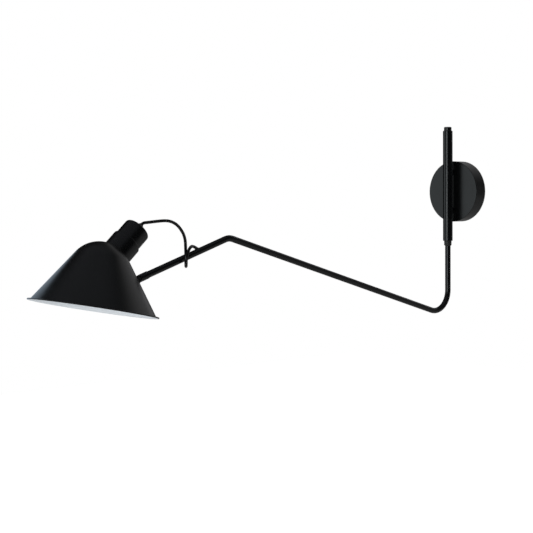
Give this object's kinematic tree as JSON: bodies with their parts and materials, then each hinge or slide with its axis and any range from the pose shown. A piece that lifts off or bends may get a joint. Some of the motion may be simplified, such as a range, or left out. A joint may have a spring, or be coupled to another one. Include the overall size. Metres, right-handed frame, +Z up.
{
  "type": "wall lamp",
  "caption": "Swing-arm wall lamp: round canopy, vertical sleeve, bent tube arm and a tilting cone shade on a knuckle, with a free cord looped round the arm.",
  "frame": {"origin": "centre of the canopy's back on the wall, midway between the two wall slots", "axes": "+Z up along the wall, -Y out into the room along the arm at rest, X across the wall"},
  "size_m": [0.187, 0.9031, 0.337],
  "materials": {
    "black_paint": "satin to matt black powder coat on steel",
    "white_paint": "matt white paint, as on the shade's inner side",
    "zinc_steel": "zinc-plated steel",
    "brass": "plain turned brass",
    "nickel_shell": "nickel-plated sheet",
    "white_ceramic": "white moulded insulator, softly glossy",
    "black_plastic": "black moulded plastic, low sheen",
    "black_cord": "smooth black cable sheath, glossy",
    "lead_insulation": "insulated single leads"
  },
  "bodies": {
    "wall_mount": {"wall_bracket": "zinc_steel", "canopy": "black_paint", "canopy_screws": "zinc_steel", "earth_screw": "zinc_steel", "earth_washer": "zinc_steel", "terminal_block": "white_ceramic", "terminal_clamps": "brass", "terminal_screws": "zinc_steel", "block_screw": "zinc_steel", "standoff_post_upper": "black_paint", "standoff_post_lower": "black_paint", "post_washers": "zinc_steel", "post_nuts": "zinc_steel", "sleeve_tube": "black_paint", "sleeve_cap": "black_paint", "upper_bush": "black_plastic", "lower_bush": "black_plastic", "thrust_washer": "zinc_steel", "swing_stop_ring": "zinc_steel", "supply_leads": "lead_insulation"},
    "arm": {"arm_tube": "black_paint", "stop_collar": "zinc_steel", "collar_screw": "zinc_steel", "arm_grommet": "black_plastic", "arm_cable": "black_cord", "arm_end_tongue": "black_paint", "ferrule_pin": "black_paint", "free_cord": "black_cord"},
    "head": {"joint_fork": "black_paint", "friction_discs": "black_plastic", "pivot_screw": "black_paint", "pivot_nut": "black_paint", "fork_washer": "white_paint", "fork_nut": "white_paint", "shade": "black_paint", "holder_skirt": "black_paint", "holder_cap": "black_paint", "holder_body": "black_plastic", "shade_ring": "white_paint", "socket_core": "white_ceramic", "screw_shell": "nickel_shell", "centre_contact": "brass", "cord_gland": "black_plastic", "gland_nut": "black_plastic", "holder_cable": "black_cord"}
  },
  "joints": [
    {"name": "arm_swing", "type": "hinge", "parent": "wall_mount", "child": "arm", "pos_m": [0, -0.0385, 0], "axis": [0, 0, 1], "range_deg": [-80, 80]},
    {"name": "shade_tilt", "type": "hinge", "parent": "arm", "child": "head", "pos_m": [0, -0.73684, -0.1302], "axis": [-1, 0, 0], "range_deg": [-30, 25], "deforming": ["free_cord"]}
  ]
}
